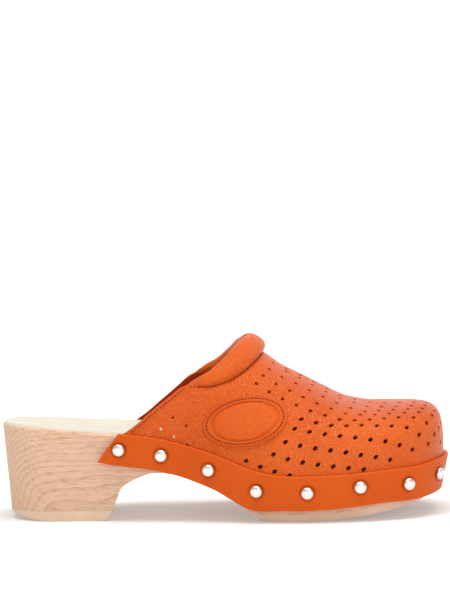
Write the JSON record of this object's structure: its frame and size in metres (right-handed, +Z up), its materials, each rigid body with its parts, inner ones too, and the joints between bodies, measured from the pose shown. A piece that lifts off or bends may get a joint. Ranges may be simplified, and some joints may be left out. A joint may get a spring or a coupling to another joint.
{
  "type": "clog mule",
  "caption": "Backless clog mule for a right foot: one-piece wooden sole with a block heel, closed leather upper nailed on under a strap, padded collar and an oval side patch.",
  "frame": {"origin": "on the floor, under the middle of the shoe's bounding box", "axes": "+X from heel to toe, +Y towards the inner side of the foot, +Z up"},
  "size_m": [0.25, 0.1018, 0.1003],
  "materials": {
    "wood": "pale beech, sanded and lightly sealed",
    "rubber": "cream rubber, matt",
    "insole": "thin cream lining leather",
    "upper_leather": "orange pebbled leather, low sheen",
    "strap_leather": "orange smooth leather, satin",
    "stud": "polished nickel plate"
  },
  "bodies": {
    "root": {"sole": "wood", "outsole": "rubber", "heel_piece": "rubber", "insole": "insole", "upper": "upper_leather", "collar": "upper_leather", "strap": "strap_leather", "badge_patch": "upper_leather", "stud_01": "stud", "stud_02": "stud", "stud_03": "stud", "stud_04": "stud", "stud_05": "stud", "stud_06": "stud", "stud_07": "stud", "stud_08": "stud", "stud_09": "stud", "stud_10": "stud", "stud_11": "stud", "stud_12": "stud", "stud_13": "stud", "stud_14": "stud", "stud_15": "stud", "stud_16": "stud"}
  },
  "joints": []
}
